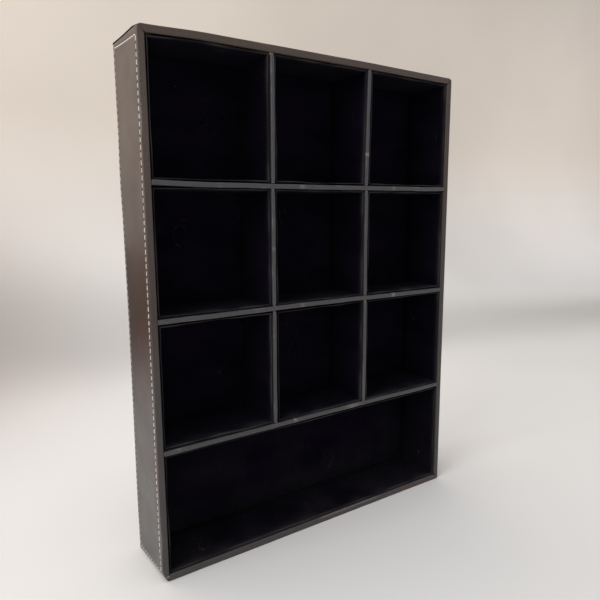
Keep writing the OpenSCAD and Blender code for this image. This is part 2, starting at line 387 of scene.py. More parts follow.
def leather_material(name, cool, warm, plum):
    """Dark coated leather that drifts between three tones, with a fine grain, satin, and
    painted warm light that makes it warmer towards the top."""
    g = Graph(name)
    height = g.node("ShaderNodeSeparateXYZ", {"Vector": g.place()}).outputs["Z"]
    drift = g.remap(g.noise(75, 2, shift=1.3), 0.36, 0.64, 0.0, 0.6)
    # Painted light: warmer towards the top, where warm light from above falls
    drift = g.math("ADD", drift, g.remap(height, 0.07, 0.28, -0.35, 0.7))
    flush = g.remap(g.noise(40, 2, shift=5.1), 0.52, 0.72)
    base = g.mix(flush, g.mix(drift, cool, warm), plum)
    speckle = g.remap(g.noise(1.4, 3), 0.3, 0.7, 0.86, 1.14)
    base = g.dim(base, speckle)

    # Paler where painted: scuffs, and painted highlight on a lip and on edges that catch the light
    rubbed_and_lit = g.math("MULTIPLY", g.painted("wear"), g.remap(g.noise(1.6, 3, shift=9), 0.35, 0.6))
    base = g.mix(rubbed_and_lit, base, (0.36, 0.32, 0.29))
    # Darker where painted: mitre lines, divider ends, and painted shade in needle holes and on the
    # right rim
    base = g.mix(g.painted("crease"), base, (0.004, 0.0035, 0.0035))

    smears = g.noise(28, 3, shift=3.7)
    roughness = g.remap(smears, 0.3, 0.7, 0.31, 0.43)
    roughness = g.math("ADD", roughness, g.math("MULTIPLY", rubbed_and_lit, 0.2))

    pores = g.remap(g.cells(0.95), 0.0, 0.75)
    wrinkles = g.noise(0.55, 2, shift=7)
    grain = g.bump(pores, 0.10, 0.45)
    grain = g.bump(wrinkles, 0.06, 0.4, grain)
    grain = g.bump(g.noise(6, 2, shift=2), 0.22, 0.35, grain)
    g.shade(Base_Color=base, Roughness=roughness, Normal=grain)
    g.shade(IOR=1.5, Specular_IOR_Level=0.5)
    return g.material


def cut_edge_material():
    """The raw cut edge of the leather, stained black: short matt fibres."""
    g = Graph("leather_edge")
    fibres = g.noise(0.4, 3, where=g.place((1, 0.25, 1)))
    base = g.mix(g.remap(fibres, 0.3, 0.7), (0.0035, 0.003, 0.0025), (0.011, 0.009, 0.007))
    g.shade(Base_Color=base, Roughness=0.95, Normal=g.bump(fibres, 0.12, 0.7))
    g.shade(Specular_IOR_Level=0.05)
    return g.material


def velvet_material():
    """Black velvet: almost no colour, brushed patches, painted light in patches low in the
    case, sparse lint and hair-thin scuffs, and paler where painted: along its folded front
    for thinned pile and a painted sheen, and on the floors near the front for settled grime
    and painted light from above."""
    g = Graph("velvet")
    brushed = g.remap(g.noise(35, 3, where=g.place((1, 1, 1.7))), 0.35, 0.7)
    base = g.mix(brushed, (0.0020, 0.0013, 0.0044), (0.0056, 0.0043, 0.0092))
    where = g.node("ShaderNodeSeparateXYZ", {"Vector": g.place()}).outputs["Z"]
    # Painted light: paler patches low in the case, where more light gets into the bottom
    # compartment
    lit_low_patches = g.remap(g.noise(45, 3, shift=8), 0.4, 0.7)
    lit_low_patches = g.math("MULTIPLY", g.remap(where, 0.12, 0.02), lit_low_patches)
    base = g.mix(g.math("MULTIPLY", lit_low_patches, 0.8), base, (0.0115, 0.0100, 0.0125))
    pile = g.remap(g.noise(1.3, 3, rough=0.65), 0.3, 0.7, 0.35, 1.65)
    base = g.dim(base, pile)

    # Lint: one short fibre in some of the cells
    fibres = g.place((1, 1, 0.3), (0.5, 0.4, 0.9))
    dots = g.math("LESS_THAN", g.cells(9, fibres), 0.034)
    few = g.math("GREATER_THAN", g.cells(9, fibres, "Color"), 0.62)
    lint = g.math("MULTIPLY", dots, few)
    base = g.mix(g.math("MULTIPLY", lint, 0.8), base, (0.16, 0.15, 0.14))

    # Scuffs: where slow noise crosses its middle, kept in a few patches
    winding = g.math("ABSOLUTE", g.math("SUBTRACT", g.noise(24, 1, shift=4), 0.5))
    hairline = g.remap(winding, 0.0, 0.004, 1.0, 0.0)
    patches = g.remap(g.noise(30, 1, shift=11), 0.58, 0.66)
    scuff = g.math("MULTIPLY", hairline, patches)
    base = g.mix(g.math("MULTIPLY", scuff, 0.55), base, (0.05, 0.047, 0.045))

    # Paler where painted: thinned pile and painted sheen on folded fronts, dust and painted light
    # on floors near the front
    base = g.mix(g.painted("wear"), base, (0.034, 0.032, 0.034))
    nap = g.bump(g.noise(0.35, 2, shift=6), 0.25, 0.6)
    g.shade(Base_Color=base, Roughness=0.95, Normal=nap)
    g.shade(Specular_IOR_Level=0.03, Sheen_Weight=0.008, Sheen_Roughness=0.5)
    g.shade(Sheen_Tint=(0.75, 0.75, 0.8, 1))
    return g.material


def thread_material():
    """Cream sewing thread, a little soiled, and more so where more soil is painted on it."""
    g = Graph("thread")
    soil = g.remap(g.noise(14, 3), 0.4, 0.7)
    base = g.mix(soil, (0.86, 0.80, 0.74), (0.58, 0.51, 0.45))
    base = g.mix(g.painted("wear"), base, (0.17, 0.145, 0.125))
    fibre = g.remap(g.noise(0.25, 2), 0.3, 0.7, 0.8, 1.1)
    base = g.dim(base, fibre)
    g.shade(Base_Color=base, Roughness=0.6, Normal=g.bump(g.noise(0.18, 2), 0.05, 0.6))
    g.shade(Sheen_Weight=0.2)
    return g.material


def board_material():
    """Raw fibreboard: fine pale fibres in a brown ground."""
    g = Graph("fibreboard")
    fibres = g.noise(0.8, 4, where=g.place((1, 1, 4)))
    base = g.mix(g.remap(fibres, 0.3, 0.7), (0.36, 0.25, 0.15), (0.55, 0.42, 0.28))
    flecks = g.math("LESS_THAN", g.cells(2.5), 0.12)
    base = g.mix(g.math("MULTIPLY", flecks, 0.5), base, (0.22, 0.14, 0.08))
    g.shade(Base_Color=base, Roughness=0.85, Normal=g.bump(fibres, 0.1, 0.5))
    return g.material


def wire_material():
    """Bright drawn wire, with lines along its length."""
    g = Graph("pin_wire")
    lines = g.noise(0.12, 2, where=g.place((0.1, 1, 1)))
    base = g.mix(lines, (0.42, 0.42, 0.44), (0.68, 0.68, 0.70))
    g.shade(Base_Color=base, Roughness=g.remap(lines, 0.3, 0.7, 0.22, 0.4))
    g.shade(Metallic=1.0, Normal=g.bump(lines, 0.02, 0.4))
    return g.material


LEATHER = leather_material(
    "leather", (0.045, 0.0405, 0.040), (0.064, 0.043, 0.033), (0.061, 0.038, 0.036)
)
# Painted light: the same leather made a cooler, bluish grey for the dividers, for the cool light on
# their fronts
COOL_LIT_DIVIDER_LEATHER = leather_material(
    "divider_leather", (0.045, 0.044, 0.047), (0.053, 0.050, 0.054), (0.049, 0.045, 0.052)
)
LEATHER_EDGE = cut_edge_material()
VELVET = velvet_material()
THREAD = thread_material()
FIBREBOARD = board_material()
PIN_WIRE = wire_material()


def repaint_hidden_nodes():
    """The CAD nodes that stay get the material of their slot."""
    finishes = {"leather": LEATHER, "velvet": VELVET, "thread": THREAD}
    finishes |= {"board": FIBREBOARD, "pin_wire": PIN_WIRE}
    for subpart in frame["record"]["subparts"]:
        mesh = frame["nodes"][subpart["node"]].data
        mesh.materials.clear()
        mesh.materials.append(finishes[subpart["material_slot"]])


# ---- Walls of the case ----


class Wall:
    """One wall of the case. A place on it has three numbers: along is the distance from
    its first end, inward the distance in from its outer face, and back the distance
    behind the rim. side is -1 for the wall at the low end of its axis and 1 for the
    other, and axis is 0 for the left and right walls and 2 for the bottom and top."""

    def __init__(self, name, axis, side, seam_corners):
        self.name = name
        self.axis = axis
        self.side = side
        self.length = HEIGHT if axis == 0 else WIDTH
        self.seam = seam_corners

    def place(self, along, inward, back):
        """Points in the case's frame."""
        along, inward, back = np.broadcast_arrays(along, inward, back)
        edge = CASE_LOW if self.side < 0 else CASE_HIGH
        across = edge[self.axis] - self.side * inward
        if self.axis == 0:
            return np.stack([across, FRONT + back, BOTTOM + along], -1)
        return np.stack([LEFT + along, FRONT + back, across], -1)

    def end_gap(self, inward):
        """How far from its corner the wall's leather ends: it is mitred, but the top and
        bottom walls' outer skin runs on over the ends of the side walls'."""
        if self.axis == 0:
            return np.where(inward < COVER_T + 0.1, COVER_T + 0.12, inward + 0.03)
        return np.where(inward < COVER_T + 0.01, 0.0, inward + 0.03)


def plain_seam(length, wander):
    """Corners of a seam round a wall as (along, back); the insets wander a little."""
    a, b, c, d = wander
    near, far = FRONT_INSET, DEPTH - BACK_INSET
    return [
        (near + a, near + a),
        (length - near - b, near + b),
        (length - near - c, far - c),
        (near + d, far - d),
    ]


# On the left wall the seam isn't square to the wall's edges
LEFT_SEAM = [
    (7.0, 5.0),
    (HEIGHT - 6.6, 3.4),
    (HEIGHT - 4.2, DEPTH - BACK_INSET),
    (3.8, DEPTH - BACK_INSET),
]

WALLS = [
    Wall("left", 0, -1, LEFT_SEAM),
    Wall("right", 0, 1, plain_seam(HEIGHT, (0, 0.2, -0.1, 0.1))),
    Wall("top", 2, 1, plain_seam(WIDTH, (0.1, 0, 0.2, 0))),
    Wall("bottom", 2, -1, plain_seam(WIDTH, (0, 0.1, 0, 0.1))),
]


def round_corners(points):
    """Rounds the case's four corners, seen from the front: what lies in a corner is drawn
    towards the middle of the corner's curve."""
    x, y, z = np.moveaxis(points, -1, 0)
    moved = points.copy()
    half_w, half_h = WIDTH / 2, HEIGHT / 2
    for (hand, up), (rim, rear, power, fade) in CORNERS.items():
        depth = np.clip((y - FRONT) / fade, 0, 1)
        wide, high = (rim[i] + (rear[i] - rim[i]) * depth for i in range(2))
        u = (hand * x - (half_w - wide)) / wide
        v = (up * (z - half_h) - (half_h - high)) / high
        inside = (u > 0) & (v > 0)
        u, v = np.maximum(u, 0), np.maximum(v, 0)
        reach = np.maximum((u**power + v**power) ** (1 / power), 1e-9)
        share = np.maximum(u, v) / reach
        new_x = hand * (half_w - wide + wide * u * share)
        new_z = half_h + up * (half_h - high + high * v * share)
        moved[..., 0] = np.where(inside, new_x, moved[..., 0])
        moved[..., 2] = np.where(inside, new_z, moved[..., 2])
    return moved


def settle(points):
    """Moves points the way that handwork and use have moved the case's walls: the corners
    are rounded, the upper front corners have sunk a little, and the left wall isn't quite
    flat towards the back."""
    moved = round_corners(points)
    x, y, z = np.moveaxis(points, -1, 0)
    from_rear = 1 - 0.8 * np.clip((y - FRONT) / DEPTH, 0, 1) ** 2.2
    sunk = LEFT_SUNK * (1 - ramp(x, LEFT, LEFT + LEFT_SUNK_SPAN))
    sunk = sunk + RIGHT_SUNK * ramp(x, LEFT + RIGHT_SUNK_START, LEFT + WIDTH)
    moved[..., 2] -= sunk * ramp(z, HEIGHT - 60, HEIGHT - 6) * from_rear
    bow = sum(size * bump(z / HEIGHT - share, width) for size, share, width in LEFT_WALL_BOWS)
    near_left = 1 - ramp(x, LEFT + 2, LEFT + 8)
    moved[..., 0] += bow * near_left * ramp(y, FRONT + 8, FRONT + DEPTH)
    moved[..., 2] = np.maximum(moved[..., 2], BOTTOM)
    return moved


# ---- Seams ----


def seam_runs(wall):
    """Each straight run of the seam as (start, unit direction, length, stitches)."""
    runs = []
    for i, start in enumerate(wall.seam):
        end = wall.seam[(i + 1) % len(wall.seam)]
        length = hypot(end[0] - start[0], end[1] - start[1])
        direction = ((end[0] - start[0]) / length, (end[1] - start[1]) / length)
        runs.append((start, direction, length, round(length / PITCH)))
    return runs


def seam_marks(wall, along, back):
    """Distance of each place to the seam's line, and to the nearest needle hole."""
    line = np.full(np.shape(along), 1e3)
    hole = line.copy()
    for start, direction, length, stitches in seam_runs(wall):
        u = (along - start[0]) * direction[0] + (back - start[1]) * direction[1]
        v = (back - start[1]) * direction[0] - (along - start[0]) * direction[1]
        off_end = u - np.clip(u, 0, length)
        line = np.minimum(line, np.hypot(off_end, v))
        pitch = length / stitches
        nearest = np.clip(np.round(u / pitch), 0, stitches) * pitch
        hole = np.minimum(hole, np.hypot(u - nearest, v))
    return line, hole


def stitch_plies(length, slant, crown):
    """Centrelines of the two twisted plies of a stitch between two needle holes, as
    (along, sideways, up)."""
    steps = 12
    u = np.linspace(0, length, steps + 1)
    dive = 1 - ramp(np.minimum(u, length - u), 0.1, 0.7)
    up = crown - 0.8 * dive
    side = slant * (0.5 - u / length)
    plies = []
    for phase in (0, pi):
        turn = 2 * pi * u / TWIST_LEN + phase
        offset = PLY_OFFSET * (1 - 0.5 * dive)
        sway, lift = offset * np.cos(turn), 0.6 * offset * np.sin(turn)
        plies.append(np.stack([u, side + sway, up + lift], 1))
    return plies


def build_thread(wall):
    """Every stitch of a wall's seam, each of two plies that dive into the needle holes."""
    shell = Shell()
    rng = np.random.default_rng(len(wall.name) + int(wall.length))
    sides = 6
    angles = np.linspace(0, 2 * pi, sides, endpoint=False)
    for run, (start, direction, length, stitches) in enumerate(seam_runs(wall)):
        crown = BOTTOM_CROWN if wall.name == "bottom" else CROWN
        gap = STITCH_GAP + (LOWER_RUN_GAP if run == 3 else 0)
        pitch = length / stitches
        for i in range(stitches):
            slant = rng.normal(STITCH_SLANT, 0.07)
            height = crown + rng.uniform(-0.04, 0.02)
            inset = gap + rng.uniform(-0.25, 0.25)
            for ply in stitch_plies(pitch - inset, slant, height):
                u = i * pitch + inset / 2 + ply[:, 0]
                thickness = THREAD_R * rng.uniform(0.93, 1.05)
                u = u[:, None] + 0 * angles
                v = ply[:, 1][:, None] + thickness * np.cos(angles)
                up = ply[:, 2][:, None] + thickness * np.sin(angles)
                along = start[0] + u * direction[0] - v * direction[1]
                back = start[1] + u * direction[1] + v * direction[0]
                shell.add_tube(settle(wall.place(along, -up, back)), wear=RUN_SOIL[run])
    return shell.make(f"{wall.name}_stitches", THREAD, "thread", f"{wall.name}_thread")


# ---- Leather over the walls ----


def stitch_rows(start, end, count):
    """Rows between two needle holes count pitches apart, close together at each hole."""
    pitch = (end - start) / count
    offsets = (0, 0.4, 1.1, 2.5, pitch - 1.1, pitch - 0.4)
    return [start + i * pitch + f for i in range(count) for f in offsets] + [end]


def cover_section():
    """Section of a wall's leather as (inward, back), in order round its closed outline:
    the edge turned over at the back, the outer face, the rim, and the hidden side."""
    back_lip = [
        (TURNOVER_W - 0.05, PANEL_FRONT),
        (TURNOVER_W - 0.1, DEPTH - 0.45),
        (TURNOVER_W - 0.45, DEPTH - 0.1),
    ]
    turnover = [(n, DEPTH) for n in np.linspace(TURNOVER_W - 1.2, 2 * BACK_EDGE_R, 8)]
    back_edge = arc((BACK_EDGE_R, DEPTH - BACK_EDGE_R), BACK_EDGE_R, 90, 180, 4)
    seam_back = DEPTH - BACK_INSET
    holes = stitch_rows(FRONT_INSET, seam_back, round((seam_back - FRONT_INSET) / PITCH))
    to_front = [FRONT_INSET - d for d in (0.4, 0.8, 1.3, 1.9, 2.6)]
    to_back = [seam_back + d for d in (0.4, 0.8, 1.2)]
    face = [(0, y) for y in sorted(to_front + holes + to_back, reverse=True)]
    rim_edge = arc((RIM_OUTER_R, RIM_OUTER_R), RIM_OUTER_R, 180, 270, 5)
    rim = [(n, 0) for n in (COVER_T - 0.05, COVER_T + 0.3, 2.1, 2.8, 3.5)]
    rim_fold = arc((RIM_W - RIM_INNER_R, RIM_INNER_R), RIM_INNER_R, 270, 360, 6)
    shown = back_lip + turnover + back_edge + face + rim_edge + rim + rim_fold
    hidden = [
        (RIM_W - 0.25, COVER_T + 0.35),
        (RIM_W - 0.9, COVER_T),
        (COVER_T + 1.0, COVER_T),
        (COVER_T, COVER_T + 1.0),
        (COVER_T, 0.5 * DEPTH),
        (COVER_T, PANEL_FRONT - 1.0),
        (COVER_T + 1.0, PANEL_FRONT),
    ]
    return np.array(shown + hidden), len(shown)


def ring_places(wall):
    """Where rings of points cross the wall: close at its ends and at needle holes."""
    length = wall.length
    first, last = FRONT_INSET, length - FRONT_INSET
    holes = stitch_rows(first, last, round((last - first) / PITCH))
    corner = [*np.arange(0.3, 3.3, 0.5), *np.arange(3.4, 7.4, 0.33)]
    places = sorted({round(float(p), 3) for p in [*holes, *corner, *(length - np.array(corner))]})
    kept = [places[0]]
    for place in places[1:]:
        if place - kept[-1] > 0.12:
            kept.append(place)
    return np.array(kept)


def mitre_reach(wall, places, inward):
    """Runs the rings in along each mitre: the distance along the wall of every point."""
    reach = TURNOVER_W + 5
    length = wall.length
    gap = wall.end_gap(inward)
    outer_gap = wall.end_gap(0.0)
    middle = places[(places > outer_gap) & (places < length - outer_gap)]
    places = np.concatenate([[outer_gap], middle, [length - outer_gap]])
    t = np.clip((places - outer_gap) / (reach - outer_gap), 0, 1)[:, None]
    near = gap + (reach - gap) * t
    t = np.clip((length - places - outer_gap) / (reach - outer_gap), 0, 1)[:, None]
    far = length - gap - (reach - gap) * t
    at = places[:, None]
    return np.where(at < reach, near, np.where(at > length - reach, far, at + 0 * inward))


def at_left_corner(points, up):
    """Whether points lie in the lower (up is -1) or upper (1) left corner of the case."""
    x, _, z = np.moveaxis(points, -1, 0)
    return (x < LEFT + 2 * RIM_W) & (up * (z - HEIGHT / 2) > HEIGHT / 2 - 2 * RIM_W)


def wear_and_highlight_marks(wall, along, inward, back, mitre):
    """Where the finish has come off: the rim's outer edge in patches, its inner edge along a
    stretch of the bottom, and the mitre at the bottom left, which has opened. Also a paler
    stretch of the left rim, and a painted highlight on a strip under the left wall's top
    edge."""
    points = wall.place(along, inward, back)
    x = points[..., 0]
    patchy = ramp(ripple(points, 30, 31), 0.55, 1.4)
    wear = 0.3 * patchy * bump(np.hypot(inward - 0.3, back - 0.3), 0.7)

    on_rim = (back < 1.5) & (inward > 0.5) & (inward < 4.6)
    opened = 1.4 * bump(mitre, 0.75) * ramp(ripple(points, 3, 33), -1.3, 0.2)
    opened = np.where(at_left_corner(points, -1), opened, 0.06 * bump(mitre, 0.45))
    wear = wear + opened * on_rim

    if wall.name == "bottom":
        stretch = ramp(x, -6, 2) * (1 - ramp(x, 60, 72))
        wear = wear + 0.35 * stretch * bump(inward - RIM_W + 0.7, 0.7) * (back < 2)
    if wall.name == "left":
        wear = wear + 0.07 * bump(along - PALE_RIM_AT, 50) * on_rim
        # Painted highlight: the lip under the left wall's top edge, where it catches the light
        lit_lip_under_edge = bump(HEIGHT - along - 2.2, 0.55) * ramp(back, 2, 12)
        wear = wear + 0.28 * lit_lip_under_edge * (inward < 0.05)
    return np.clip(wear, 0, 1)


def build_cover(wall):
    """The leather over one wall: its outer face with the seam pressed in, the rounded rim
    with mitred ends, and the edge turned over onto the back."""
    section, shown = cover_section()
    normals = outward_normals(section)
    inward, back = section.T
    along = mitre_reach(wall, ring_places(wall), inward)
    inward = np.broadcast_to(inward, along.shape)
    back = np.broadcast_to(back, along.shape)
    is_shown = np.arange(len(section)) < shown

    from_ends = np.minimum(along, wall.length - along)
    mitre = np.where(inward > COVER_T, from_ends - inward, from_ends + 5)
    line, hole = seam_marks(wall, along, back)
    on_face = inward < 0.05
    groove = on_face * (GROOVE * bump(line, 0.5) - 0.05 * bump(line - 1.5, 0.7))
    pinch = on_face * PINCH * bump(hole, 0.55)
    crease = MITRE_HOLLOW * bump(mitre, 0.55) * (inward > 0.8)
    points = wall.place(along, inward, back)
    slack = 0.08 + 0.07 * ripple(points, 55, 3) + 0.02 * ripple(points, 13, 4)
    sink = is_shown * np.clip(slack + groove + pinch + crease, 0.01, MAX_SINK)

    points = wall.place(along, inward - sink * normals[:, 0], back - sink * normals[:, 1])
    inner_end = (back < 2) & (inward > 4.3)
    tight = at_left_corner(points, -1) | at_left_corner(points, 1)
    rim_dark = np.where(tight, 0.04, 0.45) * bump(mitre, 0.22)
    # Painted shade: the whole right rim darker
    if wall.name == "right":
        rim_dark = rim_dark + 0.3
    if wall.name == "left":
        rim_dark = rim_dark + 0.25 * bump(along - DARK_RIM_AT, 45)
    # Painted shade in the needle holes; darker too at the inner end of each mitre
    dark = bump(hole, 0.55) * on_face + rim_dark * (back < 2)
    dark = dark + 0.8 * bump(mitre, 0.6) * inner_end
    wear = is_shown * wear_and_highlight_marks(wall, along, inward, back, mitre)
    shell = Shell()
    shell.add_tube(settle(points), section, wear=wear, crease=np.clip(dark, 0, 1))
    names = f"{wall.name}_leather", f"{wall.name}_cover"
    return shell.make(names[0], LEATHER, "leather", names[1], end_material=LEATHER_EDGE)


def build_wall_board(wall):
    """The board inside a wall, settled like the leather over it."""
    low, high = box_mm(f"{wall.name}_board")
    x, y, z = (np.linspace(low[i], high[i], int((high[i] - low[i]) / 4) + 3) for i in range(3))
    shell = Shell()
    long_axis = 2 if wall.axis == 0 else 0
    across, along = (x, z) if long_axis == 2 else (z, x)
    outline = [(a, y[0]) for a in across] + [(across[-1], b) for b in y[1:]]
    outline += [(a, y[-1]) for a in across[-2::-1]] + [(across[0], b) for b in y[-2:0:-1]]
    a, b = np.array(outline).T
    a, b, c = np.broadcast_arrays(a, b, along[:, None])
    points = np.stack([a, b, c] if long_axis == 2 else [c, b, a], -1)
    shell.add_tube(settle(points), outline)
    return shell.make(f"{wall.name}_wall_board", FIBREBOARD, "board", f"{wall.name}_board")


def build_corner_pins():
    """Headless pins through the side boards into the ends of the other two, sunk below the
    boards' faces, each with a short point."""
    shell = Shell()
    half_t, sunk, point = 0.4, 0.8, 1.2
    start, end = WIDTH / 2 - COVER_T - sunk, WIDTH / 2 - COVER_T - PIN_LEN
    angles = np.linspace(0, 2 * pi, 10, endpoint=False)
    for hand in (-1, 1):
        for y in (-PIN_GAP, 0, PIN_GAP):
            for node in ("bottom_board", "top_board"):
                z = sum(box_mm(node))[2] / 2
                spans = [(start, half_t), (end + point, half_t), (end, 0.1)]
                rings = [
                    [(hand * x, y + r * cos(a), z + r * sin(a)) for a in angles]
                    for x, r in spans
                ]
                shell.add_tube(np.array(rings))
    return shell.make("corner_wire_pins", PIN_WIRE, "pin_wire", "corner_pins")


# ---- Flat padded panels ----


def panel_grid(low, high, step, fine):
    """Places from low to high, closer together near both ends."""
    middle = np.arange(low + fine[-1] + step, high - fine[-1] - step / 2, step)
    return np.concatenate([low + np.array(fine), middle, high - np.array(fine[::-1])])


def build_panel(name, corners, base, face, height, material, slot, node, step=4.0):
    """A slab that fills a four-cornered outline seen from the front. base is the depth of
    its flat side and face that of its shaped side; height gives, by the distance in from
    the outline and the place, how much of the way from base to face it reaches."""
    fine = [0, 0.06, 0.2, 0.45, 0.9, 1.8, 3.2]
    (x0, z0), (x1, _), (x2, z1), (x3, _) = corners
    span = panel_grid(0, x1 - x0, step, fine)
    rise = panel_grid(0, z1 - z0, step, fine)
    u, v = np.meshgrid(span / span[-1], rise / rise[-1], indexing="ij")
    x = (x0 + (x1 - x0) * u) * (1 - v) + (x3 + (x2 - x3) * u) * v
    z = z0 + (z1 - z0) * v
    edge_x = np.minimum(span, span[-1] - span)[:, None]
    edge_z = np.minimum(rise, rise[-1] - rise)[None, :]
    flat = np.stack([x, np.full(x.shape, base), z], -1)
    shaped = flat.copy()
    shaped[..., 1] = base + (face - base) * height(edge_x, edge_z, flat)
    shell = Shell()
    front = shell.add_grid(shaped)
    rear = shell.add_grid(flat)
    for a, b in ((0, slice(None)), (-1, slice(None)), (slice(None), 0), (slice(None), -1)):
        one, two = front[a, b], rear[a, b]
        shell.faces += [
            [int(i) for i in quad] for quad in zip(one[:-1], one[1:], two[1:], two[:-1])
        ]
    return shell.make(name, material, slot, node)


def rounded_shoulder(distance, radius):
    """Height of a quarter-round edge, from 0 at the outline to 1 at radius in from it."""
    t = np.clip(distance / radius, 0, 1)
    return np.sqrt(1 - (1 - t) ** 2)


def build_back_panel():
    """The leather panel let into the back, with turned edges and a gap round it."""
    low, high = box_mm("back_panel")
    gap = 0.35
    x0, x1, z0, z1 = low[0] + gap, high[0] - gap, low[2] + gap, high[2] - gap

    def height(edge_x, edge_z, points):
        shoulder = rounded_shoulder(edge_x, 0.8) * rounded_shoulder(edge_z, 0.8)
        hem = bump(np.minimum(edge_x, edge_z) - 7.5, 1.6)
        sag = 0.10 + 0.06 * ripple(points, 80, 12) + 0.02 * ripple(points, 17, 13)
        return 0.25 + 0.75 * shoulder - np.clip(sag + 0.08 * hem, 0, 0.4) * shoulder

    corners = [(x0, z0), (x1, z0), (x1, z1), (x0, z1)]
    return build_panel(
        "back_leather", corners, low[1], high[1], height, LEATHER, "leather", "back_panel", 6.0
    )


# ---- Shelves and uprights ----


def wrap_section():
    """Section of a divider's leather as (across, back): a U with a rounded front."""
    half, deep = DIVIDER_W / 2, PAD_BACK
    r = WRAP_EDGE_R
    depths = [deep, 36, 24, 12, 5, 2.4]
    left = [(-half, y) for y in depths]
    right = [(half, y) for y in reversed(depths)]
    nose = arc((-half + r, r), r, 180, 270, 6) + [(0, 0)] + arc((half - r, r), r, 270, 360, 6)
    inner = BOARD_W / 2
    hidden = [(inner, y) for y in (deep, 20, WRAP_T)]
    hidden += [(-inner, y) for y in (WRAP_T, 20, deep)]
    shown = left + nose + right
    return np.array(shown + hidden), len(shown)


def build_wrap(node, ends_taper, slim, bow, spots, seed):
    """The leather round one shelf or upright, from the middle of its lower or left end to
    its other end. slim is how much narrower its front is on each side, bow gives how far
    it strays sideways by the share of its length, and spots lists scuffed places as
    (share of the length, width, strength)."""
    low, high = box_mm(node)
    is_shelf = high[0] - low[0] > high[2] - low[2]
    if is_shelf:
        middle = (low[2] + high[2]) / 2
        start, end = np.array([low[0], middle]), np.array([high[0], middle])
    else:
        start = np.array([low[0] + DIVIDER_W / 2, low[2]])
        end = np.array([high[0] - DIVIDER_W / 2, high[2]])
    length = np.linalg.norm(end - start)
    direction = (end - start) / length
    sideways = np.array([direction[1], -direction[0]])
    fine = [0.12, 0.3, 0.6, 1.1, 1.8, 2.8, 4.2, 6.0]
    along = panel_grid(0, length, 2.5, fine)[:, None]

    section, shown = wrap_section()
    normals = outward_normals(section)
    is_shown = np.arange(len(section)) < shown
    across, back = section.T
    from_end = np.minimum(along, length - along)
    taper = ends_taper * (1 - np.sqrt(1 - (1 - np.clip(from_end / 5, 0, 1)) ** 2 * 0.999))
    front_share = 1 - ramp(back, 3, 9)
    narrow = np.clip(slim + 0.66 * taper, 0, 0.9) * front_share
    recede = 0.7 * taper * front_share

    rough = np.stack(np.broadcast_arrays(along, across, back), -1)
    sink = is_shown * np.clip(0.05 + 0.04 * ripple(rough, 18, seed), 0, 0.3)
    wobble = 0.10 * ripple(np.stack([along, 0 * along, 0 * along], -1), 50, seed + 1)
    wobble = (wobble + bow(along / length)) * front_share
    u = across * (1 - narrow / (DIVIDER_W / 2)) - sink * normals[:, 0] + wobble
    depth = back + recede - sink * normals[:, 1]
    x = start[0] + along * direction[0] + u * sideways[0]
    z = start[1] + along * direction[1] + u * sideways[1]
    points = np.stack([x, FRONT + depth, z + 0 * x], -1)

    at_front = 1 - ramp(back, 0.6, 2.2)
    # Paler along both front edges: scuffs, and a painted highlight where the rounded edges catch
    # the light
    edges = bump(np.abs(across) - DIVIDER_W / 2 + 0.5, 0.45) * at_front
    patchy = ramp(ripple(rough, 16, seed + 2), 0.5, 1.3)
    rubbed_and_lit = 0.28 * patchy * edges + 0.35 * ends_taper * bump(from_end, 0.8) * at_front
    for share, width, strength in spots:
        rubbed_and_lit = rubbed_and_lit + strength * bump(along - share * length, width) * at_front
    dark = 0.5 * ends_taper * bump(from_end, 0.25)
    shell = Shell()
    shell.add_tube(
        points, section, wear=np.clip(rubbed_and_lit, 0, 1) * is_shown, crease=dark + 0 * rubbed_and_lit
    )
    return shell.make(f"{node}_leather", COOL_LIT_DIVIDER_LEATHER, "leather", node)


# ---- Velvet lining ----


def upright_faces(node):
    """x of an upright's left face and right face, each at its lower and upper end."""
    low, high = box_mm(node)
    left = (low[0], high[0] - DIVIDER_W)
    right = (low[0] + DIVIDER_W, high[0])
    return left, right


def compartment(row, column):
    """Corners of a compartment seen from the front, from the lower left one round."""
    name = f"{row}_{column}" if column else row
    low, high = box_mm(f"liner_{name}")
    x0 = x3 = low[0]
    x1 = x2 = high[0]
    if column in ("middle", "right"):
        side = "left" if column == "middle" else "right"
        x0, x3 = upright_faces(f"upright_wrap_{row}_{side}")[1]
    if column in ("left", "middle"):
        side = "left" if column == "left" else "right"
        x1, x2 = upright_faces(f"upright_wrap_{row}_{side}")[0]
    return name, [(x0, low[2]), (x1, low[2]), (x2, high[2]), (x3, high[2])]


def loop_round(corners, inset, step):
    """Points round a four-cornered outline moved in by inset, close at the corners. The
    same number of points comes out for any inset."""
    (x0, z0), (x1, _), (x2, z1), (x3, _) = corners
    moved = [
        (x0 + inset, z0 + inset),
        (x1 - inset, z0 + inset),
        (x2 - inset, z1 - inset),
        (x3 + inset, z1 - inset),
    ]
    points = []
    for i, (x, z) in enumerate(moved):
        nx, nz = moved[(i + 1) % 4]
        ox, oz = corners[i]
        px, pz = corners[(i + 1) % 4]
        count = int(hypot(px - ox, pz - oz) / step)
        even = np.linspace(0, 1, count)[1:-1]
        shares = np.concatenate([[0, 0.0025, 0.008], even, [0.992, 0.9975]])
        points += [(x + (nx - x) * t, z + (nz - z) * t) for t in shares]
    return np.array(points)


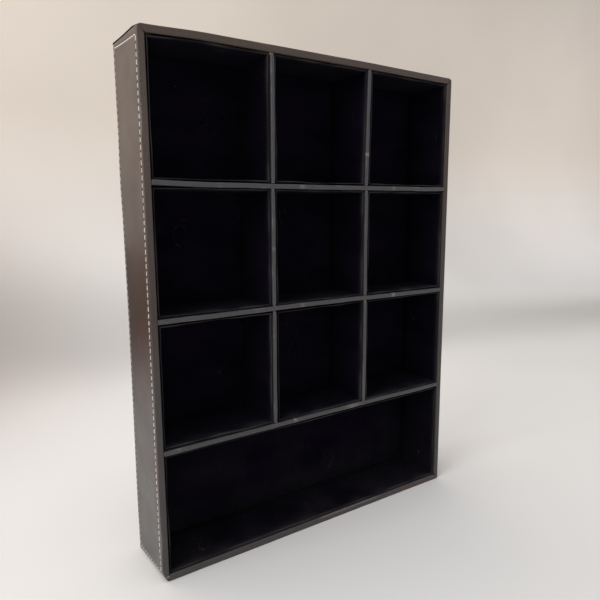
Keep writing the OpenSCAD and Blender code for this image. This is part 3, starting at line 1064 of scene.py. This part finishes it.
def build_liner(row, column, seed):
    """The velvet strip round a compartment's walls, with a soft rolled front edge that
    stands a hairline off the leather and leans against it in places."""
    name, corners = compartment(row, column)
    end = PAD_FRONT
    outer, inner = LINER_GAP, LINER_T
    radius = (inner - outer) / 2
    centre = ((outer + inner) / 2, LINER_FRONT + radius)
    depths = [end, 40, 32, 24, 17, 11, 6.5, 3.6]
    section = [(outer, y) for y in depths]
    section += arc(centre, radius, 180, 360, 8)
    section += [(inner, y) for y in reversed(depths)]
    centre_x = (corners[0][0] + corners[2][0]) / 2
    centre_z = (corners[0][1] + corners[2][1]) / 2
    rings = []
    for inset, depth in section:
        flat = loop_round(corners, inset, 2.6)
        line = np.stack([flat[:, 0], np.full(len(flat), FRONT + depth), flat[:, 1]], -1)
        front = 1 - ramp(depth, 1.5, 7)
        loose = (0.10 + 0.16 * front) * ripple(line, 40, seed) * (inset - outer) / (inner - outer)
        loose -= 0.4 * front * ramp(ripple(line, 34, seed + 3), 0.1, 1.1)
        inward = np.stack([centre_x - line[:, 0], centre_z - line[:, 2]], 1)
        inward /= np.linalg.norm(inward, axis=1)[:, None]
        line[:, 0] += loose * inward[:, 0]
        line[:, 2] += loose * inward[:, 1]
        line[:, 1] += front * (0.12 * ripple(line, 22, seed + 7) + 0.1)
        rings.append(line)
    inset, depth = np.array(section).T
    rings = np.stack(rings, 1)
    on_floor = rings[..., 2] < corners[0][1] + LINER_T + 0.8
    # Paler on the floors near the front: dust, and painted light where light from above reaches
    dust_and_lit_floor = on_floor * (1 - ramp(depth, 2, 15)) * ramp(ripple(rings, 24, seed + 9), -0.6, 1.6)
    # Paler along the rolled front: thinned pile, and a painted sheen where the folded pile catches
    # the light
    worn_and_sheen = (1 - ramp(depth, 1.6, 4.5)) * (0.4 + 0.6 * ramp(ripple(rings, 30, seed + 11), -0.6, 0.8))
    pale = np.maximum(worn_and_sheen, 0.5 * dust_and_lit_floor) * ramp(inset, outer, outer + 0.3)
    shell = Shell()
    points = settle(rings)
    shell.add_grid(points, round_first=True, round_second=True, wear=pale)
    return shell.make(f"velvet_strip_{name}", VELVET, "velvet", f"liner_{name}")


def build_pad(row, column, seed):
    """The velvet pad on a compartment's back wall, a little full in its middle."""
    name, corners = compartment(row, column)
    thickness = PAD_BACK - PAD_FRONT
    fullness = 0.45

    def height(edge_x, edge_z, points):
        edge = np.minimum(edge_x, edge_z) - LINER_T - 0.4
        puff = 1 - np.exp(-np.clip(edge, 0, 99) / 5)
        wave = 0.10 * ripple(points, 30, seed) + 0.03 * ripple(points, 9, seed + 1)
        return 0.97 + puff * (fullness + wave) / thickness

    faces = FRONT + PAD_BACK, FRONT + PAD_FRONT
    names = f"velvet_pad_{name}", f"back_pad_{name}"
    pad = build_panel(names[0], corners, *faces, height, VELVET, "velvet", names[1])
    return pad


# ---- Stage, lights and camera ----


def painted_light_and_shade(g, colour, centre, stretch, reach, tint, turn=0.0):
    """Tints a colour round a place, given in metres, fading out over reach. turn swings
    the coordinates round z first. A tint over 1 is painted light, and one under 1 painted
    shade."""

    def vector(operation, output, *inputs):
        made = g.node("ShaderNodeVectorMath", enumerate(inputs), operation=operation)
        return made.outputs[output]

    spread = vector("SUBTRACT", "Vector", g.place(turn=(0, 0, turn)), centre)
    far = vector("LENGTH", "Value", vector("MULTIPLY", "Vector", spread, stretch))
    inputs = {"Value": far, "From Max": reach, "To Min": 1.0, "To Max": 0.0}
    near = g.node("ShaderNodeMapRange", inputs, interpolation_type="SMOOTHERSTEP")
    return g.mix(near.outputs["Result"], colour, g.mix(1.0, colour, tint, "MULTIPLY"))


def build_stage():
    """A pale floor that curves up into a backdrop, with painted shade where they meet, and
    painted light and shade in broad patches.
    """
    half_width, front, bend, wall_top = 5.0, -5.0, 0.55, 4.0
    back = 1.05
    profile = [(front, 0.0), (back - bend, 0.0)]
    profile += [(y, z) for y, z in arc((back - bend, bend), bend, -90, 0, 24)][1:]
    profile += [(back, wall_top)]
    points = [(x, y, z) for y, z in profile for x in (-half_width, half_width)]
    faces = [(2 * i, 2 * i + 1, 2 * i + 3, 2 * i + 2) for i in range(len(profile) - 1)]
    mesh = bpy.data.meshes.new("stage")
    mesh.from_pydata(points, [], faces)
    mesh.shade_smooth()
    stage = add_object("stage", mesh)
    g = Graph("stage_paper")
    height = g.node("ShaderNodeSeparateXYZ", {"Vector": g.place()}).outputs["Z"]
    tint = g.mix(g.remap(height, 0.02, 0.5), (0.74, 0.73, 0.72), (0.78, 0.70, 0.62))
    cloud = g.remap(g.noise(500, 2), 0.3, 0.7, 0.95, 1.03)
    # Painted shade along the bend, where floor and backdrop meet
    tint = painted_light_and_shade(g, tint, (0, 0.69, 0.03), (0, 1, 1), 0.34, (0.76, 0.76, 0.75), radians(15))
    # Painted shade behind the case, to its left
    tint = painted_light_and_shade(g, tint, (-0.5, 0.7, 0.08), (1, 1, 1), 0.72, (0.49, 0.41, 0.39))
    # Painted light on the right of the backdrop
    tint = painted_light_and_shade(g, tint, (2.2, 1.05, 0.45), (1, 1, 1), 1.25, (1.33, 1.33, 1.34))
    # Painted shade high on the backdrop, right of the middle
    tint = painted_light_and_shade(g, tint, (0.72, 1.05, 0.9), (1, 1, 1), 0.5, (0.95, 0.95, 0.94))
    g.shade(Base_Color=g.dim(tint, cloud), Roughness=0.75, Specular_IOR_Level=0.25)
    mesh.materials.append(g.material)


def build_flag():
    """A brown card behind the case and to its left, which darkens the middle of what the
    left wall mirrors. Only reflections see it."""
    middle, half_w, half_h = Vector((-0.27, 0.32, 0.155)), 0.16, 0.075
    facing = Vector((0.296, -0.947, 0.133))
    side = facing.cross(Vector((0, 0, 1))).normalized()
    up = side.cross(facing).normalized()
    corners = [(-1, -1), (1, -1), (1, 1), (-1, 1)]
    points = [middle + u * half_w * side + v * half_h * up for u, v in corners]
    mesh = bpy.data.meshes.new("flag")
    mesh.from_pydata([tuple(p) for p in points], [], [(0, 1, 2, 3)])
    flag = add_object("flag", mesh)
    g = Graph("flag_card")
    g.shade(Base_Color=g.mix(g.noise(20, 2), (0.10, 0.038, 0.010), (0.14, 0.055, 0.018)))
    g.shade(Roughness=0.9, Specular_IOR_Level=0.0)
    mesh.materials.append(g.material)
    flag.visible_camera = False
    flag.visible_diffuse = False
    flag.visible_shadow = False


def add_light(name, place, size, power, colour):
    """A square soft light of size metres, aimed at the middle of the case."""
    lamp = bpy.data.lights.new(name, "AREA")
    lamp.shape = "SQUARE"
    lamp.size = size
    lamp.energy = power
    lamp.color = colour
    light = add_object(name, lamp)
    light.location = place
    aim = Vector((0, 0, HEIGHT * MM / 2)) - Vector(place)
    light.rotation_euler = aim.to_track_quat("-Z", "Y").to_euler()


def light_scene():
    """Soft light from the left and from above, and a pale room all round."""
    world = bpy.data.worlds.new("room")
    bpy.context.scene.world = world
    world.use_nodes = True
    background = world.node_tree.nodes["Background"]
    background.inputs["Color"].default_value = (0.98, 0.98, 1.0, 1)
    background.inputs["Strength"].default_value = 0.6
    add_light("window", (-2.1, -0.4, 1.5), 1.6, 30, (1.0, 0.99, 0.98))
    add_light("ceiling", (-0.5, 0.15, 2.4), 2.0, 24, (1.0, 0.99, 0.97))


def make_camera():
    """Stands low on the left of the case, a little above its middle, and looks past it
    to the right."""
    azimuth, downward, roll = radians(32.169), radians(8.776), radians(0.637)
    height = HEIGHT * MM
    camera_data = bpy.data.cameras.new("camera")
    camera_data.lens = 32.159
    camera_data.sensor_width = 36
    camera_data.shift_x = 0.0347
    camera_data.shift_y = -0.0041
    camera = add_object("camera", camera_data)
    turn = Matrix.Rotation(-azimuth, 4, "Z") @ Matrix.Rotation(pi / 2 - downward, 4, "X")
    turn = turn @ Matrix.Rotation(-roll, 4, "Z")
    place = Vector((-0.67377 * height, FRONT * MM - 0.89712 * height, 0.68723 * height))
    camera.matrix_world = Matrix.Translation(place) @ turn
    bpy.context.scene.camera = camera
    bpy.context.scene.view_settings.view_transform = "Standard"


# ---- The whole case ----

make_camera()
light_scene()
build_stage()
build_flag()
repaint_hidden_nodes()

for wall in WALLS:
    build_wall_board(wall)
    build_cover(wall)
    build_thread(wall)
build_corner_pins()
build_back_panel()

SHELF_SPOTS = {
    "1": [(0.43, 1.2, 0.8), (0.77, 1.0, 0.7)],
    "2": [(0.43, 1.0, 0.6), (0.78, 1.4, 0.9)],
    "3": [(0.40, 1.0, 0.7), (0.62, 7.0, 0.35)],
}
# How far each shelf's front strays downwards by the share of its length, in millimetres
SHELF_BOWS = {
    "1": lambda t: 0.3 * bump(t - 0.4, 0.25) - 0.7 * bump(t, 0.06) - 0.5 * bump(t - 1, 0.06),
    "2": lambda t: 0.3 * ramp(t, 0.7, 0.9) - 0.5 * ramp(t, 0.28, 0.36) * (1 - ramp(t, 0.6, 0.7)),
    "3": lambda t: 0.5 - 0.9 * ramp(t, -0.1, 0.75),
}
for row, spots in SHELF_SPOTS.items():
    build_wrap(f"shelf_wrap_{row}", 0.15, 0.0, SHELF_BOWS[row], spots, 40 + int(row))
UPRIGHT_SPOTS = {"1_right": [(0.27, 0.7, 1.0)], "2_left": [(0.5, 0.8, 0.3)]}
# How far each upright's lower and upper end stand to the right of their place
UPRIGHT_SHIFTS = {
    "1_left": (0.0, 0.7),
    "1_right": (-0.3, -0.2),
    "2_left": (-0.2, -0.2),
    "2_right": (-0.1, 0.0),
    "3_left": (-0.5, -0.1),
    "3_right": (-0.2, 0.3),
}
for name, (lower, upper) in UPRIGHT_SHIFTS.items():
    row, side = name.split("_")
    build_wrap(
        f"upright_wrap_{name}",
        1.0,
        0.25,
        lambda t: lower + (upper - lower) * t,
        UPRIGHT_SPOTS.get(name, []),
        50 + 2 * int(row) + len(side),
    )

compartments = [(row, column) for row in "123" for column in ("left", "middle", "right")]
for i, (row, column) in enumerate(compartments + [("4", "")]):
    build_liner(row, column, 60 + i)
    build_pad(row, column, 80 + i)
